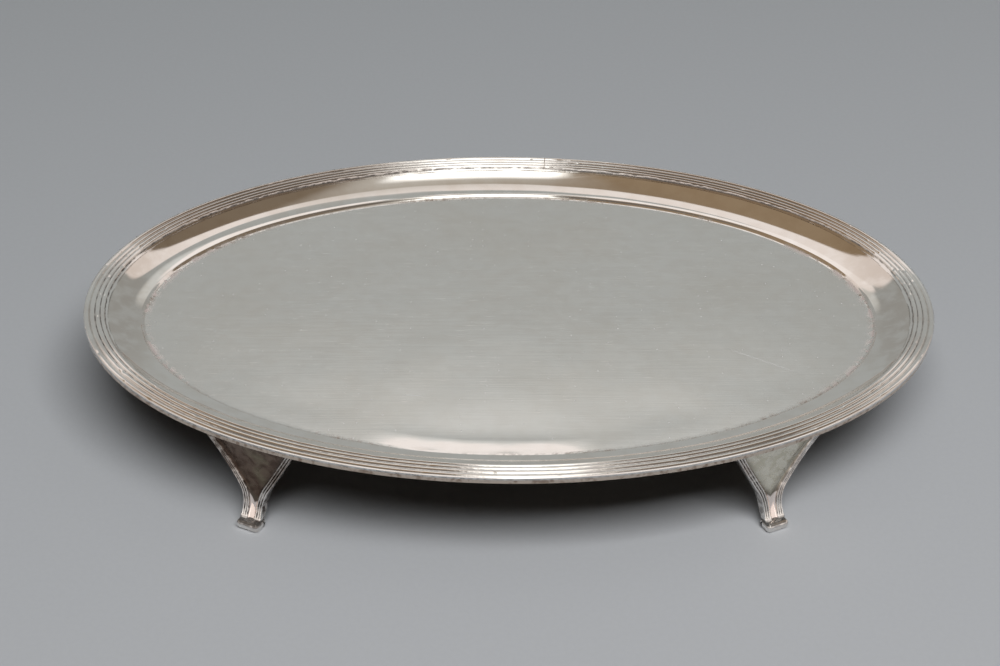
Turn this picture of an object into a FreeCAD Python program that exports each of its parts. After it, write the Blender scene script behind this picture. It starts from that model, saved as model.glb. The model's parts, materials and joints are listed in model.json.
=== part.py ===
import FreeCAD, Part
import math
import os

# Oval footed salver in silver: a raised tray plate, an applied reeded rim wire and four soldered
# panel feet. Millimetres and degrees; +X along the oval's length, +Y towards the back, +Z up.
# The origin is below the centre of the oval, on the surface that the toes stand on.

Vector = FreeCAD.Vector
UP = Vector(0, 0, 1)

# ---- driving dimensions ----
LENGTH = 184.0            # overall, along X
WIDTH = 126.4             # overall, along Y
HEIGHT = 23.5             # from the toes' undersides to the crests of the rim's reeds
SHEET = 0.8               # thickness of the tray plate

WIRE_WIDTH = 4.6          # rim wire, from its outer edge to its inner edge
WIRE_HEIGHT = 0.9         # rim wire, from its flat back to the crests of its reeds
WIRE_OVERHANG = 0.2       # how far the wire stands out past the edge of the plate
LIP_HEIGHT = 0.3          # height of the wire's inner edge
BUTT_GAP = 0.16           # thickness of the solder that closes the wire's two ends
BUTT_PARAMETER = 84.0     # where that joint is, as the ellipse's parameter

WELL_INSET = 13.0         # from the rim's outer edge to the start of the step round the well
STEP_RISE = 0.6
STEP_ANGLE = 42.0         # steepest slope of the step
STEP_FOOT_RADIUS = 1.2    # hollow turn at the bottom of the step
STEP_CREST_RADIUS = 0.4   # round turn at its top
BORDER_START_ANGLE = 10.0  # slope of the hollow border just outside the step
BORDER_END_ANGLE = 33.0   # and where it nears the rim
SHOULDER_RADIUS = 1.2     # turns the border level before the wire

FOOT_PARAMETER = 53.9     # where each foot's middle is, as the ellipse's parameter
REED_WIDTH = 1.5          # width of one edge strip
REED_COUNT = 3            # reeds on each edge strip
GROOVE_WIDTH = 0.14       # grooves between those reeds
GROOVE_DEPTH = 0.3
FOOT_HALF_WIDTH = 2.3     # of the foot where it meets its toe
FOOT_STRAIGHT = 4.0       # the foot's sides stay upright up to this height
FOOT_FLARE_RADIUS = 9.0   # then turn outwards on this radius
FOOT_FLARE_ANGLE = 30.0   # to this slope, measured from upright
WAIST_HEIGHT = 9.0        # level at which the foot's face is upright
TOE_HEIGHT = 2.0
TOE_DEPTH = 3.4           # from the toe's nose to its heel
TOE_INSET = 0.2           # the nose in from the rim's outer edge
TOE_HALF_WIDTH = 2.6
TOE_NOSE_RADIUS = 0.9     # rounding along the toe's nose
TOE_CORNER = 0.6          # rounding of the toe's ends
SOLDER = 0.5              # size of the solder fillet round the head of a foot
SOLDER_BED = 0.1          # thickness of the solder between the rim wire and the plate
TOLERANCE = 0.01          # how near an edge has to be to a plane to be picked by it

# Side view of a foot: how far each of its surfaces lies in from the rim's outer edge,
# at the head, at the waist and at the toe. The panel is sheet of even thickness, and the
# edge strips stand out of it in front and behind and grow thinner towards the toe.
STRIP_FRONT = (1.7, 3.7, 1.7)
PANEL_FRONT = (2.4, 4.5, 2.4)
PANEL_BACK = (3.2, 5.3, 3.2)
STRIP_BACK = (4.1, 6.0, 3.5)

# ---- derived dimensions ----
A = LENGTH / 2
B = WIDTH / 2
WIRE_BACK = HEIGHT - WIRE_HEIGHT      # level of the wire's flat back
PLATE_TOP = WIRE_BACK - SOLDER_BED    # level of the plate's top under the wire
HEAD = PLATE_TOP - SHEET              # level of the plate's underside there, where the feet join it

# Reeds of the rim wire, from the inner edge outwards: (width, height of the crest, height of the
# groove outside it). The last reed's outer side turns under to the wire's back.
REEDS = [
    (1.0, 0.78, 0.50),
    (1.1, 0.88, 0.50),
    (1.2, WIRE_HEIGHT, 0.46),
]
OUTER_REED = WIRE_WIDTH - sum(width for width, crest, groove in REEDS)


# ---- small helpers ----
def cos(degrees):
    return math.cos(math.radians(degrees))


def sin(degrees):
    return math.sin(math.radians(degrees))


def tan(degrees):
    return math.tan(math.radians(degrees))


def line(p, q):
    return Part.LineSegment(p, q).toShape()


def arc(p, middle, q):
    return Part.Arc(p, middle, q).toShape()


def face_of(edges):
    return Part.Face(Part.Wire(Part.sortEdges(edges)[0]))


# ---- sections carried round the oval ----
def rim_point(offset, z):
    """A point of a rim section, drawn at the oval's +X end; the offset is negative inwards."""
    return Vector(A + offset, 0, z)


def swept_round_oval(edges):
    """Carries a section, open or closed, round the oval and keeps it square to the outer edge."""
    oval = Part.Ellipse(Vector(), A, B).toShape()
    pipe = Part.BRepOffsetAPI.MakePipeShell(Part.Wire([oval]))
    pipe.setBiNormalMode(UP)
    pipe.add(Part.Wire(edges), False, False)
    pipe.build()
    return pipe


def solid_round_oval(edges):
    pipe = swept_round_oval(edges)
    pipe.makeSolid()
    return pipe.shape()


def turn(start, radius, from_angle, to_angle):
    """An arc of a section that changes slope; returns the edge and the point where it ends."""
    side = 1 if to_angle > from_angle else -1

    def at(angle):
        run = side * radius * (sin(angle) - sin(from_angle))
        rise = side * radius * (cos(from_angle) - cos(angle))
        return start + Vector(run, 0, rise)

    return arc(start, at((from_angle + to_angle) / 2), at(to_angle)), at(to_angle)


# ---- tray plate ----
def step_sizes():
    """Length of the straight riser of the step, and the run of the whole step."""
    foot_rise = STEP_FOOT_RADIUS * (1 - cos(STEP_ANGLE))
    crest_rise = STEP_CREST_RADIUS * (cos(BORDER_START_ANGLE) - cos(STEP_ANGLE))
    riser = (STEP_RISE - foot_rise - crest_rise) / sin(STEP_ANGLE)
    foot_run = STEP_FOOT_RADIUS * sin(STEP_ANGLE)
    crest_run = STEP_CREST_RADIUS * (sin(STEP_ANGLE) - sin(BORDER_START_ANGLE))
    return riser, foot_run + riser * cos(STEP_ANGLE) + crest_run


def border_radius():
    """Radius of the hollow border that just fills the space between the step and the shoulder."""
    run = WELL_INSET - step_sizes()[1] - WIRE_WIDTH - SHOULDER_RADIUS * sin(BORDER_END_ANGLE)
    return run / (sin(BORDER_END_ANGLE) - sin(BORDER_START_ANGLE))


def well_level():
    border_rise = border_radius() * (cos(BORDER_START_ANGLE) - cos(BORDER_END_ANGLE))
    return PLATE_TOP - SHOULDER_RADIUS * (1 - cos(BORDER_END_ANGLE)) - border_rise - STEP_RISE


def upper_side():
    """Edges of the plate's top from the well to the wire, and the points between them."""
    start = rim_point(-WELL_INSET, well_level())
    foot, riser_start = turn(start, STEP_FOOT_RADIUS, 0, STEP_ANGLE)
    riser = step_sizes()[0]
    riser_end = riser_start + Vector(riser * cos(STEP_ANGLE), 0, riser * sin(STEP_ANGLE))
    crest, border_start = turn(riser_end, STEP_CREST_RADIUS, STEP_ANGLE, BORDER_START_ANGLE)
    border, border_end = turn(border_start, border_radius(), BORDER_START_ANGLE, BORDER_END_ANGLE)
    shoulder, shoulder_end = turn(border_end, SHOULDER_RADIUS, BORDER_END_ANGLE, 0)
    edges = [foot, line(riser_start, riser_end), crest, border, shoulder]
    return edges, border_end, shoulder_end


def under_side():
    """Edges of the plate's underside from the well to the level part under the wire, and their end."""
    floor = well_level() - SHEET
    normal = Vector(sin(BORDER_END_ANGLE), 0, -cos(BORDER_END_ANGLE)) * SHEET
    border_end = upper_side()[1] + normal
    radius = border_radius() + SHEET

    def on_border(angle):
        run = radius * (sin(BORDER_END_ANGLE) - sin(angle))
        rise = radius * (cos(angle) - cos(BORDER_END_ANGLE))
        return border_end - Vector(run, 0, rise)

    # the step shows underneath as one soft ramp
    ramp_angle = (STEP_ANGLE + BORDER_START_ANGLE) / 2
    ramp_end = on_border((2 * BORDER_START_ANGLE + BORDER_END_ANGLE) / 3)
    ramp_start = Vector(ramp_end.x - (ramp_end.z - floor) / tan(ramp_angle), 0, floor)
    middle = on_border((BORDER_START_ANGLE + 2 * BORDER_END_ANGLE) / 3)
    shoulder, shoulder_end = turn(border_end, SHOULDER_RADIUS - SHEET, BORDER_END_ANGLE, 0)
    edges = [line(ramp_start, ramp_end), arc(ramp_end, middle, border_end), shoulder]
    return edges, shoulder_end


def flat_cap(shell, level):
    """A flat face that closes the shell's opening at the given level."""
    rim = []
    for edge in shell.Edges:
        box = edge.BoundBox
        if abs(box.ZMin - level) < TOLERANCE and abs(box.ZMax - level) < TOLERANCE:
            rim.append(edge)
    return Part.Face(Part.Wire(Part.sortEdges(rim)[0]))


def tray_plate():
    """The raised sheet: flat well, small step, hollow border and a level edge under the wire."""
    upper, border_end, upper_end = upper_side()
    under, under_end = under_side()
    edge_top = rim_point(-WIRE_OVERHANG, PLATE_TOP)
    edge_bottom = rim_point(-WIRE_OVERHANG, HEAD)
    section = upper + [line(upper_end, edge_top), line(edge_top, edge_bottom), line(edge_bottom, under_end)]
    shell = swept_round_oval(section + under[::-1]).shape()
    well = flat_cap(shell, well_level())
    floor = flat_cap(shell, well_level() - SHEET)
    closed = Part.makeShell(shell.Faces + [well, floor])
    closed.sewShape()
    solid = Part.makeSolid(closed)
    if solid.Volume < 0:
        solid.reverse()
    return solid


# ---- rim wire ----
def wire_section():
    """Closed section of the drawn wire: a flat back, three reeds and an outer reed that turns under."""
    back_inner = rim_point(-WIRE_WIDTH, WIRE_BACK)
    point = rim_point(-WIRE_WIDTH, WIRE_BACK + LIP_HEIGHT)
    edges = [line(back_inner, point)]
    offset = -WIRE_WIDTH
    for width, crest, groove in REEDS:
        middle = rim_point(offset + width / 2, WIRE_BACK + crest)
        offset += width
        following = rim_point(offset, WIRE_BACK + groove)
        edges.append(arc(point, middle, following))
        point = following
    crest = rim_point(-OUTER_REED / 2, WIRE_BACK + WIRE_HEIGHT)
    nose = rim_point(0, WIRE_BACK + WIRE_HEIGHT / 3)
    back_outer = rim_point(-WIRE_OVERHANG, WIRE_BACK)
    outer_reed = Part.BSplineCurve()
    outer_reed.interpolate([point, crest, nose, back_outer])
    return edges + [outer_reed.toShape(), line(back_outer, back_inner)]


def place_on_oval(parameter):
    """Point on the rim's outer edge, heading of its outward normal and radius of its curvature."""
    place = Vector(A * cos(parameter), B * sin(parameter), 0)
    heading = math.degrees(math.atan2(sin(parameter) / B, cos(parameter) / A))
    stretch = A * A * sin(parameter) ** 2 + B * B * cos(parameter) ** 2
    return place, heading, stretch ** 1.5 / (A * B)


def butt_slab():
    """A thin slab across the rim where the wire's two ends meet."""
    place, heading, radius = place_on_oval(BUTT_PARAMETER)
    reach = 2 * WIRE_WIDTH
    slab = Part.makeBox(2 * reach, BUTT_GAP, 2 * HEIGHT, Vector(-reach, -BUTT_GAP / 2, 0))
    slab.rotate(Vector(), UP, heading)
    slab.translate(place)
    return slab


def rim_parts():
    """The wire, the solder that closes its ends, and the bed of solder that it sits on."""
    upper, border_end, shoulder_end = upper_side()
    corners = [
        shoulder_end,
        rim_point(-WIRE_OVERHANG, PLATE_TOP),
        rim_point(-WIRE_OVERHANG, WIRE_BACK),
        rim_point(-WIRE_WIDTH, WIRE_BACK),
        rim_point(-WIRE_WIDTH, WIRE_BACK + LIP_HEIGHT - SOLDER_BED),
        border_end,
    ]
    # the shoulder, over the bed, and down the fillet along the wire's inner edge
    bed = [upper[-1]] + [line(p, q) for p, q in zip(corners, corners[1:])]
    ring = solid_round_oval(wire_section())
    slab = butt_slab()
    return {
        "rim_wire": ring.cut(slab),
        "rim_butt_solder": ring.common(slab),
        "rim_solder": solid_round_oval(bed),
    }


# ---- feet, drawn facing +X round the centre of the oval's curvature ----
def side_curve(radius, insets, proud=0):
    """Side view of one surface of the foot as edges from the toe to the head, with its two ends."""
    head, waist, toe_end = (inset - proud for inset in insets)
    edges = []
    lower = (TOE_HEIGHT, WAIST_HEIGHT, waist - toe_end)
    upper = (WAIST_HEIGHT, HEAD, waist - head)
    for low, high, run in [lower, upper]:
        rise = high - low
        bend = (rise * rise + run * run) / (2 * run)

        def at(z):
            reach = math.sqrt(bend * bend - (z - WAIST_HEIGHT) ** 2)
            return Vector(radius - waist + bend - reach, 0, z)

        edges.append(arc(at(low), at((low + high) / 2), at(high)))
    return edges, Vector(radius - toe_end, 0, TOE_HEIGHT), Vector(radius - head, 0, HEAD)


def curved_sheet(radius, front, back):
    """A sheet between two side curves, bent round with the oval."""
    outer, outer_foot, outer_head = front
    inner, inner_foot, inner_head = back
    section = face_of(outer + [line(outer_head, inner_head)] + inner + [line(inner_foot, outer_foot)])
    spread = math.degrees(HEIGHT / radius)
    section.rotate(Vector(), UP, -spread)
    return section.revolve(Vector(), UP, 2 * spread)


def head_half_width():
    flare_width = FOOT_FLARE_RADIUS * (1 - cos(FOOT_FLARE_ANGLE))
    flare_top = FOOT_STRAIGHT + FOOT_FLARE_RADIUS * sin(FOOT_FLARE_ANGLE)
    return FOOT_HALF_WIDTH + flare_width + (HEAD - flare_top) * tan(FOOT_FLARE_ANGLE)


def outline_prism(radius, inset):
    """A prism along X whose sides follow the foot's outline, moved in by the inset."""
    half = FOOT_HALF_WIDTH - inset
    bend = FOOT_FLARE_RADIUS + inset
    centre = Vector(0, FOOT_HALF_WIDTH + FOOT_FLARE_RADIUS, FOOT_STRAIGHT)

    def on_flare(angle):
        return centre + Vector(0, -bend * cos(angle), bend * sin(angle))

    flare_end = on_flare(FOOT_FLARE_ANGLE)
    head = Vector(0, flare_end.y + (HEAD - flare_end.z) * tan(FOOT_FLARE_ANGLE), HEAD)
    foot = Vector(0, half, 0)
    side = [
        line(foot, on_flare(0)),
        arc(on_flare(0), on_flare(FOOT_FLARE_ANGLE / 2), flare_end),
        line(flare_end, head),
    ]
    other_side = [edge.mirror(Vector(), Vector(0, 1, 0)) for edge in side]
    across = [line(head, Vector(0, -head.y, HEAD)), line(Vector(0, -half, 0), foot)]
    face = face_of(side + other_side + across)
    face.translate(Vector(radius - HEIGHT, 0, 0))
    return face.extrude(Vector(2 * HEIGHT, 0, 0))


def edge_strips(radius):
    """Both edge strips of a foot, each with grooves between its reeds, -Y side first."""
    front = side_curve(radius, STRIP_FRONT)
    strips = curved_sheet(radius, front, side_curve(radius, STRIP_BACK))
    strips = strips.common(outline_prism(radius, 0)).cut(outline_prism(radius, REED_WIDTH))
    clear = side_curve(radius, STRIP_FRONT, GROOVE_DEPTH)
    sunk = side_curve(radius, STRIP_FRONT, -GROOVE_DEPTH)
    skin = curved_sheet(radius, clear, sunk)
    for k in range(1, REED_COUNT):
        middle = REED_WIDTH * k / REED_COUNT
        band = outline_prism(radius, middle - GROOVE_WIDTH / 2)
        band = band.cut(outline_prism(radius, middle + GROOVE_WIDTH / 2))
        strips = strips.cut(band.common(skin))
    return sorted(strips.Solids, key=lambda solid: solid.CenterOfMass.y)


def toe(radius):
    """The rounded bar that a foot stands on."""
    nose = radius - TOE_INSET
    heel = nose - TOE_DEPTH
    bend = nose - TOE_NOSE_RADIUS
    on_bend = bend + TOE_NOSE_RADIUS * cos(45)
    lower = TOE_NOSE_RADIUS
    upper = TOE_HEIGHT - TOE_NOSE_RADIUS

    def at(x, z):
        return Vector(x, -TOE_HALF_WIDTH, z)

    section = face_of([
        line(at(heel, 0), at(bend, 0)),
        arc(at(bend, 0), at(on_bend, lower - TOE_NOSE_RADIUS * sin(45)), at(nose, lower)),
        line(at(nose, lower), at(nose, upper)),
        arc(at(nose, upper), at(on_bend, upper + TOE_NOSE_RADIUS * sin(45)), at(bend, TOE_HEIGHT)),
        line(at(bend, TOE_HEIGHT), at(heel, TOE_HEIGHT)),
        line(at(heel, TOE_HEIGHT), at(heel, 0)),
    ])
    bar = section.extrude(Vector(0, 2 * TOE_HALF_WIDTH, 0))
    # both ends are rounded, except along the heel and the underside
    ends = []
    for edge in bar.Edges:
        box = edge.BoundBox
        if box.YLength < TOLERANCE and box.ZMax > TOE_CORNER and box.XLength > TOLERANCE:
            ends.append(edge)
    return bar.makeFillet(TOE_CORNER, ends)


def head_solder(radius, parts):
    """The fillet of solder round the head of a foot, against the plate's underside."""
    front = radius - STRIP_FRONT[0]
    back = radius - STRIP_BACK[0]

    def loop(grow, z):
        half = head_half_width() + grow

        def on(reach, y):
            return Vector(math.sqrt(reach * reach - y * y), y, z)

        return Part.Wire([
            arc(on(front + grow, -half), on(front + grow, 0), on(front + grow, half)),
            line(on(front + grow, half), on(back - grow, half)),
            arc(on(back - grow, half), on(back - grow, 0), on(back - grow, -half)),
            line(on(back - grow, -half), on(front + grow, -half)),
        ])

    collar = Part.makeLoft([loop(SOLDER, HEAD), loop(0, HEAD - SOLDER)], True, True)
    for part in parts:
        collar = collar.cut(part)
    return collar


def foot_parts(radius):
    """The separate pieces of one foot. Left and right are as seen from in front of the foot."""
    panel = curved_sheet(radius, side_curve(radius, PANEL_FRONT), side_curve(radius, PANEL_BACK))
    panel = panel.common(outline_prism(radius, REED_WIDTH))
    left, right = edge_strips(radius)
    return {
        "foot_panel": panel,
        "foot_reed_left": left,
        "foot_reed_right": right,
        "foot_toe": toe(radius),
        "foot_solder": head_solder(radius, [panel, left, right]),
    }


def feet():
    """All four feet, each set on the oval's outward normal."""
    place, heading, radius = place_on_oval(FOOT_PARAMETER)
    centre = place - Vector(cos(heading), sin(heading), 0) * radius
    corners = {
        "back_right": (heading, Vector(centre.x, centre.y, 0)),
        "back_left": (180 - heading, Vector(-centre.x, centre.y, 0)),
        "front_left": (180 + heading, Vector(-centre.x, -centre.y, 0)),
        "front_right": (-heading, Vector(centre.x, -centre.y, 0)),
    }
    nodes = {}
    for corner, (facing, middle) in corners.items():
        for name, solid in foot_parts(radius).items():
            solid.rotate(Vector(), UP, facing)
            solid.translate(middle)
            nodes[f"{name}_{corner}"] = solid
    return nodes


def main():
    nodes = {"tray_plate": tray_plate()}
    nodes.update(rim_parts())
    nodes.update(feet())
    os.makedirs("parts", exist_ok=True)
    for name, shape in nodes.items():
        shape.exportStep(f"parts/{name}.step")
        print(f"{name}: {len(shape.Solids)} solid, valid {shape.isValid()}, {shape.Volume:.2f} mm3")
    print(f"well at {well_level():.3f}, heads of the feet at {HEAD:.3f}")


main()
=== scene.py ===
import json
import math

import bpy
import numpy as np
from mathutils import Matrix, Vector


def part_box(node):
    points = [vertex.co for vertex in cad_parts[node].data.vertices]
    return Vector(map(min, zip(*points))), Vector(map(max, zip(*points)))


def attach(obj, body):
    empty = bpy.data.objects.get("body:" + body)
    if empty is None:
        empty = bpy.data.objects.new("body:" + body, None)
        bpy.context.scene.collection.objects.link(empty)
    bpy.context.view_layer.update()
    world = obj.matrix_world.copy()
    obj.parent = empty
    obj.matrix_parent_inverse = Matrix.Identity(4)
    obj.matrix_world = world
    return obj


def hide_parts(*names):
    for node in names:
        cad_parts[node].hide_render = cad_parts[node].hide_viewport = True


# Looks of an oval footed silver salver, built around its CAD frame. Metres; +X along the oval's
# length, +Y towards the back, +Z up, and the toes stand at height 0. Named angles are in degrees.

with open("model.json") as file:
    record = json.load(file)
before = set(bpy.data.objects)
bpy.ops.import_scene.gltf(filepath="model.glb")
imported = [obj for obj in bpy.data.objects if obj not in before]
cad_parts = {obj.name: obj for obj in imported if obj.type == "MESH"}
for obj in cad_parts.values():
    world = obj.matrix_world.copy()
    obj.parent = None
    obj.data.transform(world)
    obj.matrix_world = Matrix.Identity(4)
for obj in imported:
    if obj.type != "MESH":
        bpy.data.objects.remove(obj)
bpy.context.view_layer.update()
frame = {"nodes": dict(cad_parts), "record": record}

MM = 0.001

# ---- sizes read from the frame ----
wire_low, wire_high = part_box("rim_wire")
plate_low, plate_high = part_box("tray_plate")
toe_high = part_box("foot_toe_back_right")[1]
HALF_LENGTH = wire_high.x
HALF_WIDTH = wire_high.y
WIRE_BACK = wire_low.z
PLATE_TOP = plate_high.z
WIRE_OVERHANG = wire_high.x - plate_high.x
WELL = next(mount["pos_m"][2] for mount in frame["record"]["mounts"] if mount["name"] == "well")
SHEET = WELL - plate_low.z
HEAD = PLATE_TOP - SHEET
TOE_HEIGHT = toe_high.z

# ---- the plate's section ----
WELL_INSET = 13.0 * MM
WELL_HALF_LENGTH = HALF_LENGTH - WELL_INSET
WELL_HALF_WIDTH = HALF_WIDTH - WELL_INSET
STEP_RISE = 0.6 * MM
STEP_ANGLE = 42.0
STEP_FOOT_RADIUS = 1.2 * MM
STEP_CREST_RADIUS = 0.4 * MM
BORDER_START_ANGLE = 10.0
BORDER_END_ANGLE = 33.0
SHOULDER_RADIUS = 1.2 * MM

# ---- hand work on the plate: depth, wavelength and seed of each unevenness ----
STEP_WANDER = (0.05 * MM, 12.0 * MM, 6)
STEP_FOOT_WANDER = (0.03 * MM, 2.2 * MM, 5)
BORDER_RIPPLE = (0.010 * MM, 16.0 * MM, 7)
WELL_SWELL = (0.030 * MM, 45.0 * MM, 3)
WELL_RIPPLE = (0.008 * MM, 16.0 * MM, 4)
GUTTER_WANDER = (0.22 * MM, 9.0 * MM, 16)
HOLLOWS = [  # x, y, half-width along X, half-width along Y, depth
    (6.0 * MM, -46.0 * MM, 24.0 * MM, 10.0 * MM, 0.11 * MM),
    (30.0 * MM, -36.0 * MM, 12.0 * MM, 7.0 * MM, 0.07 * MM),
    (-18.0 * MM, -44.0 * MM, 12.0 * MM, 8.0 * MM, 0.05 * MM),
    (-42.0 * MM, -34.0 * MM, 18.0 * MM, 8.0 * MM, 0.04 * MM),
    (58.0 * MM, -28.0 * MM, 10.0 * MM, 10.0 * MM, 0.06 * MM),
]
GUTTER_DEPTH = 0.42 * MM
GUTTER_REACH = (0.2 * MM, 2.6 * MM)         # from the step, where it starts to rise and where it ends
GUTTER_LEFT_END = (-32.0 * MM, -18.0 * MM)  # where each end starts and stops fading, along X
GUTTER_RIGHT_END = (6.0 * MM, 18.0 * MM)

# ---- the rim wire's section ----
WIRE_WIDTH = 4.6 * MM
LIP_HEIGHT = 0.3 * MM
BUTT_GAP = 0.16 * MM
BUTT_PARAMETER = 84.0
INNER_REEDS = [  # width, height of the crest, height of the groove outside it
    (1.0 * MM, 0.78 * MM, 0.50 * MM),
    (1.1 * MM, 0.88 * MM, 0.50 * MM),
    (1.2 * MM, 0.90 * MM, 0.46 * MM),
]
OUTER_REED_MIDDLE = 0.28 * MM
REED_FULLNESS = 2.4       # 2 is a plain arc; more makes a flatter crest and a tighter groove
WIRE_WEAR = (0.02 * MM, 20.0 * MM, 12)       # as for the plate, on the crests
LIP_WANDER = (0.035 * MM, 1.6 * MM, 13)      # and along the wire's inner lip
LIP_LONG_WANDER = (0.0245 * MM, 5.0 * MM, 14)
SEAM_LUMPS = (0.02 * MM, 6.0 * MM, 15)
NICKS = 240
NICK_LENGTH = (0.002, 0.011)  # radians round the oval
NICK_DEPTH = (0.02, 0.09)     # mm

# ---- a foot ----
FOOT_PARAMETER = 53.9
FOOT_HALF_WIDTH = 2.3 * MM
FOOT_STRAIGHT = 4.0 * MM
FOOT_FLARE_RADIUS = 9.0 * MM
FOOT_FLARE_ANGLE = 30.0
WAIST_HEIGHT = 9.0 * MM
STRIP_WIDTH = 1.5 * MM
STRIP_REEDS = 3
STRIP_GROOVE = 0.26 * MM
STRIP_EDGE_ROUNDING = 0.12 * MM
STRIP_FULLNESS = 1.7      # as REED_FULLNESS, for the feet
LEDGE_HEIGHT = 0.9 * MM   # plain stretch of the strips just above the toe
PANEL_FILLET = 0.35 * MM
PANEL_FILLET_REACH = 0.22 * MM
TOE_INSET = 0.2 * MM
TOE_DEPTH = 3.4 * MM
TOE_HALF_WIDTH = 2.6 * MM
TOE_NOSE_RADIUS = 0.9 * MM
TOE_HEEL_RADIUS = 0.25 * MM
TOE_CORNER = 0.9 * MM
# insets of the surfaces from the rim's outer edge, at the head, the waist and the toe
STRIP_FRONT = (1.7 * MM, 3.7 * MM, 1.7 * MM)
PANEL_FRONT = (2.4 * MM, 4.5 * MM, 2.4 * MM)
PANEL_BACK = (3.2 * MM, 5.3 * MM, 3.2 * MM)
STRIP_BACK = (4.1 * MM, 6.0 * MM, 3.5 * MM)

# ---- how finely the pieces are meshed ----
AROUND = 1440             # steps round the oval
WELL_ROWS = 34            # rings of points between the well's edge and its middle
REED_STEPS = 14
OUTER_REED_STEPS = 34
FOOT_ROWS = 90
SHARP_ANGLE = 50.0        # sharper edges than this stay crisp


# ---- small helpers ----
def unevenness(points, wavelength, seed, waves=14):
    """Smooth seeded random waves, mostly between -1 and 1, at the given points."""
    rng = np.random.default_rng(seed)
    total = np.zeros(points.shape[:-1])
    for _ in range(waves):
        direction = rng.normal(size=points.shape[-1])
        direction /= np.linalg.norm(direction)
        rate = math.tau / (wavelength * rng.uniform(0.7, 1.6))
        total += np.sin(points @ direction * rate + rng.uniform(0, math.tau))
    return total / math.sqrt(waves)


def ripple(points, kind):
    """Unevenness of a kind, which is its depth, wavelength and seed."""
    depth, wavelength, seed = kind
    return depth * unevenness(points, wavelength, seed)


def fade(value, start, end):
    """0 before start, 1 after end and a smooth rise between them."""
    share = np.clip((value - start) / (end - start), 0, 1)
    return share * share * (3 - 2 * share)


def bell(value, centre, width):
    """1 at the centre, falling smoothly to nearly 0 two widths away from it."""
    return np.exp(-((value - centre) / width) ** 2)


def grid_faces(rows, columns, wrap_rows=False, wrap_columns=False):
    """Quads over a grid of points numbered row by row."""
    i = np.arange(rows if wrap_rows else rows - 1)[:, None]
    j = np.arange(columns if wrap_columns else columns - 1)[None, :]
    next_i = (i + 1) % rows
    next_j = (j + 1) % columns
    corners = [i * columns + j, next_i * columns + j, next_i * columns + next_j, i * columns + next_j]
    return np.stack(corners, -1).reshape(-1, 4).tolist()


def make_mesh(name, points, faces, marks):
    """A smooth mesh object; marks are named values, one for each point."""
    mesh = bpy.data.meshes.new(name)
    mesh.from_pydata(points.tolist(), [], faces)
    for mark_name, values in marks.items():
        layer = mesh.attributes.new(mark_name, "FLOAT", "POINT")
        layer.data.foreach_set("value", np.asarray(values, np.float32).ravel())
    mesh.shade_smooth()
    mesh.set_sharp_from_angle(angle=math.radians(SHARP_ANGLE))
    piece = bpy.data.objects.new(name, mesh)
    bpy.context.scene.collection.objects.link(piece)
    return piece


def finish_piece(piece, material, slot, *nodes):
    """Gives a piece its material and lets it stand for its CAD nodes; the slot is not used."""
    piece.data.materials.append(material)
    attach(piece, "root")
    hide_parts(*nodes)


# ---- sections carried round the oval ----
def oval_edge(angles):
    """Points of the rim's outer edge and the outward normals there."""
    place = np.stack([HALF_LENGTH * np.cos(angles), HALF_WIDTH * np.sin(angles)], -1)
    normal = np.stack([np.cos(angles) / HALF_LENGTH, np.sin(angles) / HALF_WIDTH], -1)
    return place, normal / np.linalg.norm(normal, axis=-1, keepdims=True)


def round_oval(section, angles):
    """Every (offset, height) point of a section at every angle; offsets are negative inwards."""
    place, normal = oval_edge(angles)
    level = place[None] + section[:, None, :1] * normal[None]
    height = np.broadcast_to(section[:, None, 1:], level.shape[:2] + (1,))
    return np.concatenate([level, height], -1)


def bend(start, radius, from_angle, to_angle, count):
    """Points along an arc of a section that changes slope, without its first point."""
    side = 1 if to_angle > from_angle else -1
    first = math.radians(from_angle)
    angles = np.radians(np.linspace(from_angle, to_angle, count + 1)[1:])
    run = side * radius * (np.sin(angles) - math.sin(first))
    rise = side * radius * (math.cos(first) - np.cos(angles))
    return start + np.stack([run, rise], -1)


def stretch(start, end, count):
    """Points along a straight line, without its first point."""
    shares = np.linspace(0, 1, count + 1)[1:, None]
    return np.asarray(start) + shares * (np.asarray(end) - np.asarray(start))


# ---- tray plate ----
def step_sizes():
    """Length of the straight riser of the step, and the run of the whole step."""
    steep = math.radians(STEP_ANGLE)
    shallow = math.radians(BORDER_START_ANGLE)
    foot_rise = STEP_FOOT_RADIUS * (1 - math.cos(steep))
    crest_rise = STEP_CREST_RADIUS * (math.cos(shallow) - math.cos(steep))
    riser = (STEP_RISE - foot_rise - crest_rise) / math.sin(steep)
    crest_run = STEP_CREST_RADIUS * (math.sin(steep) - math.sin(shallow))
    return riser, STEP_FOOT_RADIUS * math.sin(steep) + riser * math.cos(steep) + crest_run


def border_radius():
    """Radius of the hollow border, which fills the width that the step and the wire leave it."""
    start = math.sin(math.radians(BORDER_START_ANGLE))
    end = math.sin(math.radians(BORDER_END_ANGLE))
    return (WELL_INSET - step_sizes()[1] - WIRE_WIDTH - SHOULDER_RADIUS * end) / (end - start)


def upper_section():
    """The plate's top from the well to under the wire, and the point where the border ends."""
    steep = math.radians(STEP_ANGLE)
    points = [np.array([[-WELL_INSET, WELL]])]
    points.append(bend(points[-1][-1], STEP_FOOT_RADIUS, 0, STEP_ANGLE, 12))
    riser = step_sizes()[0] * np.array([math.cos(steep), math.sin(steep)])
    points.append(stretch(points[-1][-1], points[-1][-1] + riser, 3))
    points.append(bend(points[-1][-1], STEP_CREST_RADIUS, STEP_ANGLE, BORDER_START_ANGLE, 6))
    points.append(bend(points[-1][-1], border_radius(), BORDER_START_ANGLE, BORDER_END_ANGLE, 28))
    border_end = points[-1][-1]
    points.append(bend(border_end, SHOULDER_RADIUS, BORDER_END_ANGLE, 0, 6))
    return np.concatenate(points), border_end


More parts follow.
